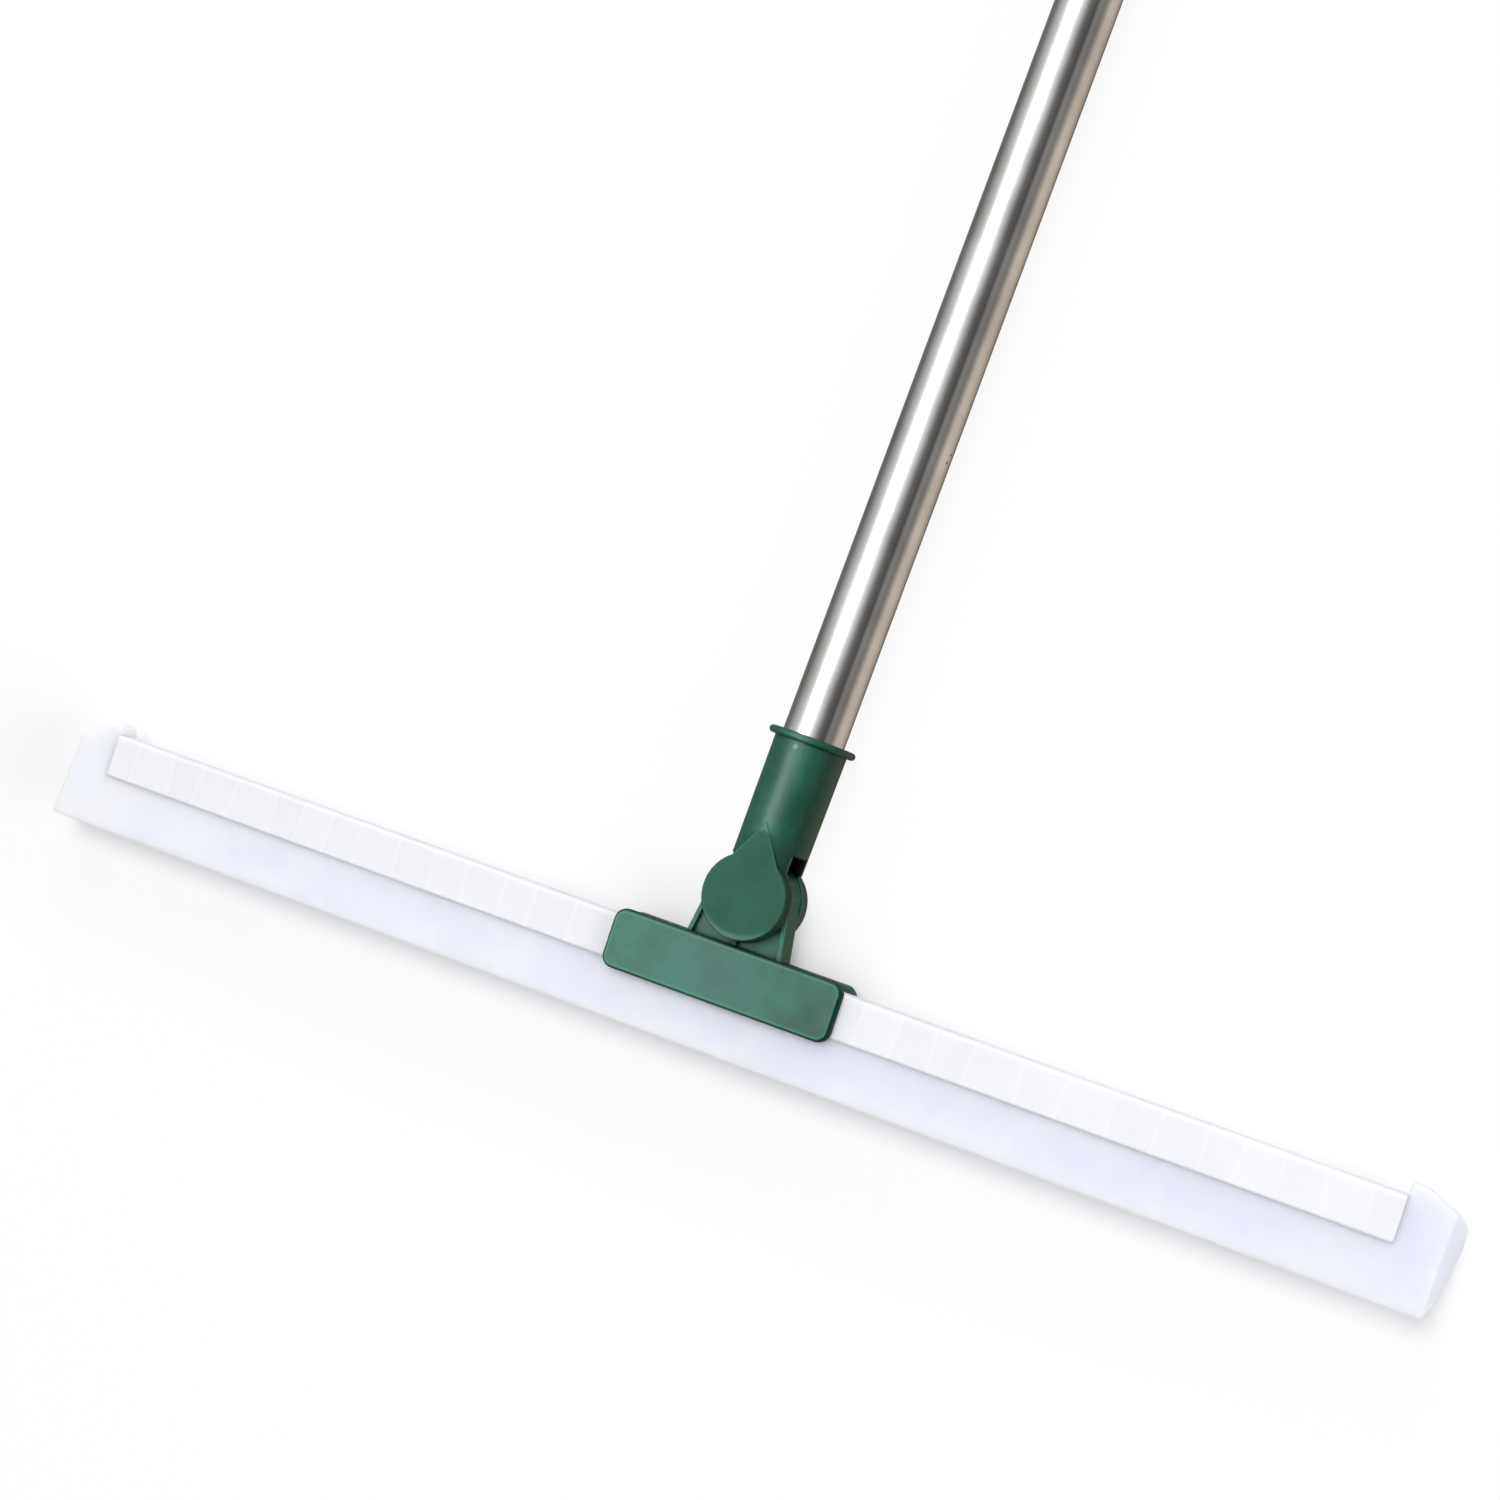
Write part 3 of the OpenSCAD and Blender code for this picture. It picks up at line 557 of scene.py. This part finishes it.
def makeStrip(look):
    material, tree = newMaterial("whitePolyethylene")
    place = addNode(tree, "ShaderNodeTexCoord").outputs["Object"]
    cloud = addNode(tree, "ShaderNodeTexNoise", None,
                    {"Vector": place, "Scale": 1 / (look["cloud"] * mm), "Detail": 5, "Roughness": 0.62})
    along = addNode(tree, "ShaderNodeSeparateXYZ", None, {0: place})
    toneShift = addNode(tree, "ShaderNodeMapRange", None,
                    {"Value": along.outputs["X"], "From Min": look["toneSpan"][0] * mm,
                     "From Max": look["toneSpan"][1] * mm,
                     "To Min": look["toneShift"][0], "To Max": look["toneShift"][1]})
    both = addNode(tree, "ShaderNodeMath", {"operation": "MULTIPLY_ADD"},
                   {0: cloud.outputs["Fac"], 1: look["cloudShare"], 2: toneShift.outputs["Result"]})
    facetShading = addNode(tree, "ShaderNodeAttribute", {"attribute_name": "facetShading"})  # painted shading: every one of the facets has its own tone
    both = addNode(tree, "ShaderNodeMath", {"operation": "MULTIPLY_ADD"},
                   {0: facetShading.outputs["Fac"], 1: look["facetShadingShare"], 2: both.outputs["Value"]})
    tint = setRamp(addNode(tree, "ShaderNodeValToRGB", None, {"Fac": both.outputs["Value"]}),
                   [(look["tone"][0], hexColour(look["cloudy"])),
                    (look["tone"][1], hexColour(look["white"]))])
    line = addNode(tree, "ShaderNodeAttribute", {"attribute_name": "crease"})  # white from the stress of folding, with a painted highlight along each crease
    colour = addNode(tree, "ShaderNodeMix", {"data_type": "RGBA"},
                     {0: line.outputs["Fac"], 6: tint.outputs["Color"], 7: hexColour(look["fold"])})
    gloss = addNode(tree, "ShaderNodeMapRange", None,
                    {"Value": cloud.outputs["Fac"], "From Min": noiseSpan[0], "From Max": noiseSpan[1],
                     "To Min": look["roughness"][1], "To Max": look["roughness"][0]})
    fine = addNode(tree, "ShaderNodeTexNoise", None,
                   {"Vector": place, "Scale": 1 / (look["grain"][0] * mm), "Detail": 3})
    bump = addNode(tree, "ShaderNodeBump", None,
                   {"Strength": 0.15, "Distance": look["grain"][1] * mm, "Height": fine.outputs["Fac"]})
    shader = addNode(tree, "ShaderNodeBsdfPrincipled", None,
                     {"Base Color": colour.outputs["Result"], "Roughness": gloss.outputs["Result"],
                      "IOR": 1.51, "Specular IOR Level": look["shine"], "Normal": bump.outputs["Normal"]})
    addNode(tree, "ShaderNodeOutputMaterial", None, {"Surface": shader.outputs["BSDF"]})
    return material


whitePolyethylene = makeStrip(stripLook)
print("materials made:", len(bpy.data.materials))


# CAD nodes that stay as they are

finishes = {
    "handle_tube": polishedStainless,
    "hang_cap": greenPolypropylene,
    "socket_fork": greenPolypropylene,
    "socket_screw": zincPlatedSteel,
    "hinge_bolt": zincPlatedSteel,
    "hinge_nut": zincPlatedSteel,
    "front_washer": naturalNylon,
    "back_washer": naturalNylon,
    "front_jaw": greenJawFace,
    "back_jaw": greenBackJawShaded,
    "clamp_screws": zincPlatedSteel,
}
for name, finish in finishes.items():
    dress(nodes[name], finish)
print("frame dressed")


# foam blade: two ears and the pinched middle, melted into one soft block

foamSizes = {
    "middle": -8.5,  # blade's middle from the hinge, millimetres
    "length": 523.0,
    "railLength": 482.0,
    "lip": -55.0,
    "lipSoft": (4.0, 0.3),  # height of the sharper edge, and its share of the smoothing
    "lipRise": 4.8,
    "front": 5.6,
    "earTop": -15.2,
    "earBack": -3.8,
    "ridge": (-26.9, -30.4, -15.5),  # top, bottom, depth
    "lipBack": -5.0,
    "pinchTop": -20.6,
    "swell": (-38.0, -41.7, -9.2),  # where it starts, where it ends, depth there
    # each end: lean in degrees, front edge set back, height it turns about, corner cut along and down
    "leftEnd": (3.0, 3.6, -54.0, 16.0, 14.6),
    "rightEnd": (-1.5, 5.0, -24.0, 16.0, 8.6),
    "cutBend": (0.25, 0.62),
    "overlap": 4.0,  # how far the pinched middle runs on into the ears
    "spare": 2.0,  # length at each end that is cut off again
    "voxel": 0.8,
    "smoothing": (4, 0.5),  # rounds, and how much in each
}


def addPrism(section, start, end):  # a section in y and z, run along the blade
    bm = bmesh.new()
    rings = [[bm.verts.new((x, y, z)) for y, z in section] for x in (start, end)]
    bm.faces.new(rings[0])
    bm.faces.new(list(reversed(rings[1])))
    for i in range(len(section)):
        j = (i + 1) % len(section)
        bm.faces.new((rings[0][j], rings[0][i], rings[1][i], rings[1][j]))
    bmesh.ops.recalc_face_normals(bm, faces=bm.faces)
    return bm


def slicePrism(bm, point, normal):  # cuts off what lies on the normal's side
    parts = bm.verts[:] + bm.edges[:] + bm.faces[:]
    cut = bmesh.ops.bisect_plane(bm, geom=parts, plane_co=point, plane_no=normal, clear_outer=True)
    rim = [e for e in cut["geom_cut"] if isinstance(e, bmesh.types.BMEdge)]
    bmesh.ops.edgeloop_fill(bm, edges=rim)
    bmesh.ops.recalc_face_normals(bm, faces=bm.faces)


def makeFoamBlade(sizes):
    ridgeTop, ridgeLow, ridgeDepth = sizes["ridge"]
    swellTop, swellLow, swellDepth = sizes["swell"]
    lipBack = (sizes["lip"] + sizes["lipRise"], sizes["lipBack"])
    front = sizes["front"]
    ear = [(sizes["lip"], front), (sizes["earTop"], front), (sizes["earTop"], sizes["earBack"]),
           (ridgeTop, ridgeDepth), (ridgeLow, ridgeDepth), lipBack]
    pinched = [(sizes["lip"], front), (sizes["pinchTop"], front), (sizes["pinchTop"], -front),
               (swellTop, -front), (swellLow, swellDepth), lipBack]
    half, railHalf = sizes["length"] / 2, sizes["railLength"] / 2
    whole = bmesh.new()
    scratch = bpy.data.meshes.new("foamScratch")
    addPrism(pinched, -railHalf - sizes["overlap"], railHalf + sizes["overlap"]).to_mesh(scratch)
    whole.from_mesh(scratch)
    for way, facts in ((-1, sizes["leftEnd"]), (1, sizes["rightEnd"])):
        lean, setBack, turnHeight, cutLength, cutDrop = facts
        end = way * half
        bm = addPrism(ear, way * railHalf, end + way * sizes["spare"])
        lean = math.radians(lean)
        normal = Vector((way * math.cos(lean), math.sin(lean), setBack / (front - ridgeDepth)))
        slicePrism(bm, (end, turnHeight, ridgeDepth), normal)
        bend = (cutLength * sizes["cutBend"][0], cutDrop * sizes["cutBend"][1])
        corners = [(cutLength, 0), bend, (0, cutDrop)]
        for (alongA, downA), (alongB, downB) in zip(corners, corners[1:]):
            a = Vector((end - way * alongA, sizes["earTop"] - downA, 0))
            b = Vector((end - way * alongB, sizes["earTop"] - downB, 0))
            run = (b - a).normalized()
            slicePrism(bm, a, Vector((-run.y * way, run.x * way, 0)))
        bm.to_mesh(scratch)
        whole.from_mesh(scratch)
        bm.free()
    for v in whole.verts:
        v.co = headPoint(v.co.x + sizes["middle"], v.co.y, v.co.z)
    piece = newPiece("foamBlade", whole)
    melt = piece.modifiers.new("melt", "REMESH")
    melt.mode = "VOXEL"
    melt.voxel_size = sizes["voxel"] * mm
    applyModifiers(piece)
    soft = piece.vertex_groups.new(name="soft")  # the lip is cut with a blade, so it stays sharper
    edge = headPoint(0, sizes["lip"] + sizes["lipSoft"][0], 0).y
    lip = [v.index for v in piece.data.vertices if v.co.y < edge]
    rest = [v.index for v in piece.data.vertices if v.co.y >= edge]
    soft.add(lip, sizes["lipSoft"][1], "REPLACE")
    soft.add(rest, 1, "REPLACE")
    soften = piece.modifiers.new("soften", "SMOOTH")
    soften.vertex_group = "soft"
    soften.iterations, soften.factor = sizes["smoothing"]
    applyModifiers(piece)
    piece.data.polygons.foreach_set("use_smooth", [True] * len(piece.data.polygons))
    return piece


foamBlade = makeFoamBlade(foamSizes)
dress(foamBlade, whiteEvaFoam)
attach(foamBlade, "head")
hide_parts("foam_blade")
print("foam blade made:", len(foamBlade.data.vertices), "points")


# white strip: a thin sheet folded over the foam, creased across every centimetre or so

stripSizes = {
    "middle": -8.5,
    "length": 482.0,
    "top": -19.8,
    "low": -35.3,
    "depth": 6.4,  # half of its thickness over all
    "taper": 0.6,  # how much closer to the foam its lower edge lies
    "endTaper": (0.3, 7.0),  # the same at its two ends, and over what length
    "least": 5.72,  # no part of it lies deeper than this, just clear of the foam
    "wall": 0.3,
    "fold": 1.6,  # radius of the fold along the top
    "rows": (14, 6, 8),  # steps up each side, round each fold and across the top
    "step": 0.5,
    "crease": (11.5, 16.5),  # least and most distance between creases
    "creaseDepth": 0.3,
    "creaseTop": (0.25, 5.0),  # share of that depth at the top, and how far down it is full
    "slant": 0.12,
    "spare": 20.0,  # creases run on past each end
    "ridge": (0.7, 0.4),  # half width, and height as a share of the depth
    "creaseWhiteAndHighlight": 0.55,
    "toneSpread": 1.7,  # sets the facets' painted shading tones apart
    "seed": 11,
}


def creaseLine(sizes):  # places, slants and depths of the creases along one face
    chance = random.Random(sizes["seed"])
    creases, x = [], -sizes["length"] / 2 - sizes["spare"]
    while x < sizes["length"] / 2 + sizes["spare"]:
        creases.append((x, chance.uniform(-sizes["slant"], sizes["slant"]), chance.uniform(0, 1)))
        x += chance.uniform(*sizes["crease"])
    return creases


def creaseDepth(creases, sizes, x, drop):  # flat facets between slanting creases: depth, painted shading tone, crease line
    wide, high = sizes["ridge"]
    places = [(at + slant * drop, depth) for at, slant, depth in creases]
    for (xa, da), (xb, db) in zip(places, places[1:]):
        if xa <= x <= xb:
            share = (x - xa) / max(xb - xa, 1e-6)
            near = max(0, 1 - min(x - xa, xb - x) / wide) ** 2
            return da + (db - da) * share - high * near, da * sizes["toneSpread"] % 1, near
    return 0, 0, 0


def makeStripPiece(sizes):
    depth, fold = sizes["depth"], sizes["fold"]
    up, bend, over = sizes["rows"]
    rise = sizes["top"] - fold - sizes["low"]
    profile = [(sizes["low"] + rise * i / up, depth - sizes["taper"] * (1 - i / up)) for i in range(up + 1)]
    for i in range(1, bend + 1):
        a = math.radians(90 / bend * i)
        profile.append((sizes["top"] - fold + fold * math.sin(a), depth - fold + fold * math.cos(a)))
    across = [(sizes["top"], (depth - fold) * (1 - 2 * i / over)) for i in range(1, over)]
    profile = profile + across + [(y, -z) for y, z in reversed(profile)]
    creases = creaseLine(sizes)
    columns = int(sizes["length"] / sizes["step"]) + 1
    topShare, fullDrop = sizes["creaseTop"]
    bm = bmesh.new()
    facetShading = bm.verts.layers.float.new("facetShading")
    crease = bm.verts.layers.float.new("crease")
    grid = []
    for c in range(columns):
        x = sizes["length"] * (c / (columns - 1) - 0.5)
        ends = sizes["endTaper"][0] * max(0, 1 - (sizes["length"] / 2 - abs(x)) / sizes["endTaper"][1])
        ring = []
        for y, z in profile:
            drop = sizes["top"] - y
            fade = min(1, drop / fullDrop)
            dent, tone, near = creaseDepth(creases, sizes, x, drop)
            inward = max(sizes["creaseDepth"] * (topShare + (1 - topShare) * fade) * dent, 0) + ends * fade
            inward = min(inward, max(abs(z) - sizes["least"], 0))
            vert = bm.verts.new(headPoint(x + sizes["middle"], y, z - math.copysign(inward, z)))
            vert[facetShading] = tone
            vert[crease] = near * sizes["creaseWhiteAndHighlight"]
            ring.append(vert)
        grid.append(ring)
    for a, b in zip(grid, grid[1:]):
        for i in range(len(profile) - 1):
            bm.faces.new((a[i], b[i], b[i + 1], a[i + 1]))
    bmesh.ops.recalc_face_normals(bm, faces=bm.faces)
    piece = newPiece("whiteStrip", bm)
    shell = piece.modifiers.new("wall", "SOLIDIFY")
    shell.thickness = sizes["wall"] * mm
    shell.offset = -1
    applyModifiers(piece)
    piece.data.polygons.foreach_set("use_smooth", [True] * len(piece.data.polygons))
    return piece


whiteStrip = makeStripPiece(stripSizes)
dress(whiteStrip, whitePolyethylene)
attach(whiteStrip, "head")
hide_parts("white_rail")
print("strip made:", len(whiteStrip.data.vertices), "points")


# floor, light and the studio that the steel mirrors

stageFacts = {
    "floor": "#fefefe",
    "floorHalf": 6.0,
    "floorGlow": (0.22, 0.9),  # how much of it is plain white to the camera, by the head and away from it
    "headMiddle": (-8.5, -52.0, 0.0),  # millimetres from the hinge
    "headReach": (330.0, 37.0, 100.0),  # how far round the head the floor keeps its full shadow
    "headFade": (0.9, 1.8),  # shares of that reach where the shadow starts and ends to fade
    "skySide": (-0.45, 0.45, 0.77),  # where the soft room light is strongest
    "sky": (0.02, 0.66),  # its level on the far side and on that side
    "lamps": {  # watts, place from the hinge, size
        "key": (36.0, (-0.1, 0.75, 2.9), 1.5),  # nearly overhead
        "fill": (22.0, (2.6, -0.1, 1.3), 1.6),  # from the right
        "back": (9.0, (-0.3, 2.6, 0.5), 1.2),  # low, for the strip's top edge
    },
    "tentRadius": 1.3,
    "tentLength": 6.0,
    "tentPeak": 5.4,
    # angle from straight up round the handle, degrees, right is plus: brightness and tint
    "tent": [(-180, 0.2, "#ffffff"), (-110, 0.2, "#ffffff"), (-90, 0.42, "#ffffff"), (-60, 0.86, "#ffffff"),
             (-48, 1.4, "#ffffff"), (-37, 5.4, "#ffffff"), (-24, 5.4, "#ffffff"), (-13, 2.8, "#ffffff"),
             (3, 1.15, "#fcfbff"), (21, 0.42, "#fcfbff"), (30, 0.2, "#fbf8f8"), (51, 0.1, "#fbf8f8"),
             (61, 0.35, "#fdfbf8"), (82, 0.27, "#fdf7f2"), (105, 0.8, "#fff3e7"), (130, 0.78, "#ffeee2"),
             (150, 0.5, "#ffecda"), (165, 0.2, "#ffecda"), (180, 0.15, "#ffffff")],
}


def makeFloor(facts):
    bm = bmesh.new()
    bmesh.ops.create_grid(bm, x_segments=8, y_segments=8, size=facts["floorHalf"])
    floor = newPiece("floor", bm)
    material, tree = newMaterial("paleFloor")
    plain = addNode(tree, "ShaderNodeBsdfDiffuse", None, {"Color": hexColour(facts["floor"])})
    glow = addNode(tree, "ShaderNodeEmission", None, {"Color": (1, 1, 1, 1), "Strength": 1})
    path = addNode(tree, "ShaderNodeLightPath")
    place = addNode(tree, "ShaderNodeTexCoord").outputs["Object"]
    middle = headPoint(*facts["headMiddle"])
    around = addNode(tree, "ShaderNodeMapping", {"vector_type": "TEXTURE"},
                    {"Vector": place, "Location": (middle.x, middle.y, 0),
                     "Scale": tuple(reach * mm for reach in facts["headReach"])})
    far = addNode(tree, "ShaderNodeVectorMath", {"operation": "LENGTH"}, {0: around.outputs["Vector"]})
    white = addNode(tree, "ShaderNodeMapRange", {"interpolation_type": "SMOOTHSTEP"},
                    {"Value": far.outputs["Value"], "From Min": facts["headFade"][0],
                     "From Max": facts["headFade"][1],
                     "To Min": facts["floorGlow"][0], "To Max": facts["floorGlow"][1]})
    share = addNode(tree, "ShaderNodeMath", {"operation": "MULTIPLY"},
                    {0: path.outputs["Is Camera Ray"], 1: white.outputs["Result"]})
    both = addNode(tree, "ShaderNodeMixShader", None,
                   {0: share.outputs["Value"], 1: plain.outputs["BSDF"], 2: glow.outputs["Emission"]})
    addNode(tree, "ShaderNodeOutputMaterial", None, {"Surface": both.outputs["Shader"]})
    dress(floor, material)
    floor.visible_glossy = False  # the tent below stands in for it in reflections


def makeTent(facts):  # softbox, dark gap and warm card round the handle, seen only in reflections
    bm = bmesh.new()
    bmesh.ops.create_cone(bm, segments=96, radius1=facts["tentRadius"], radius2=facts["tentRadius"],
                          depth=facts["tentLength"])
    tent = newPiece("studioTent", bm)
    tent.matrix_world = Matrix.Translation(hinge) @ Matrix(((0, 1, 0), (0, 0, 1), (1, 0, 0))).to_4x4()
    material, tree = newMaterial("studioTent")
    place = addNode(tree, "ShaderNodeTexCoord").outputs["Object"]
    angle = addNode(tree, "ShaderNodeTexGradient", {"gradient_type": "RADIAL"}, {"Vector": place})
    stops = []
    for degrees, level, tint in facts["tent"]:
        r, g, b, _ = hexColour(tint)
        share = level / facts["tentPeak"]
        stops.append((degrees / 360 + 0.5, (r * share, g * share, b * share, 1)))
    ramp = setRamp(addNode(tree, "ShaderNodeValToRGB", None, {"Fac": angle.outputs["Fac"]}), stops)
    glow = addNode(tree, "ShaderNodeEmission", None,
                   {"Color": ramp.outputs["Color"], "Strength": facts["tentPeak"]})
    addNode(tree, "ShaderNodeOutputMaterial", None, {"Surface": glow.outputs["Emission"]})
    dress(tent, material)
    tent.visible_camera = False
    tent.visible_diffuse = False
    tent.visible_shadow = False
    tent.visible_transmission = False
    tent.visible_volume_scatter = False


def makeLight(facts):
    world = bpy.data.worlds.new("studio")
    bpy.context.scene.world = world
    world.use_nodes = True
    tree = world.node_tree
    tree.nodes.clear()
    path = addNode(tree, "ShaderNodeLightPath")
    clear = addNode(tree, "ShaderNodeMath", {"operation": "MAXIMUM"},
                    {0: path.outputs["Is Camera Ray"], 1: path.outputs["Is Transmission Ray"]})
    way = addNode(tree, "ShaderNodeTexCoord").outputs["Generated"]
    side = addNode(tree, "ShaderNodeVectorMath", {"operation": "DOT_PRODUCT"}, {0: way, 1: facts["skySide"]})
    soft = addNode(tree, "ShaderNodeMapRange", None,
                   {"Value": side.outputs["Value"], "From Min": -1, "From Max": 1,
                    "To Min": facts["sky"][0], "To Max": facts["sky"][1]})
    level = addNode(tree, "ShaderNodeMapRange", None,
                    {"Value": clear.outputs["Value"], "To Min": soft.outputs["Result"], "To Max": 1})
    sky = addNode(tree, "ShaderNodeBackground", None,
                  {"Color": (1, 1, 1, 1), "Strength": level.outputs["Result"]})
    addNode(tree, "ShaderNodeOutputWorld", None, {"Surface": sky.outputs["Background"]})
    for name, (watts, place, size) in facts["lamps"].items():
        data = bpy.data.lights.new(name + "Light", "AREA")
        data.energy = watts
        data.shape = "DISK"
        data.size = size
        lamp = bpy.data.objects.new(name + "Light", data)
        lamp.location = hinge + Vector(place)
        lamp.rotation_euler = (hinge - lamp.location).to_track_quat("-Z", "Y").to_euler()
        lamp.visible_glossy = False
        bpy.context.scene.collection.objects.link(lamp)


makeFloor(stageFacts)
makeTent(stageFacts)
makeLight(stageFacts)
print("stage set")
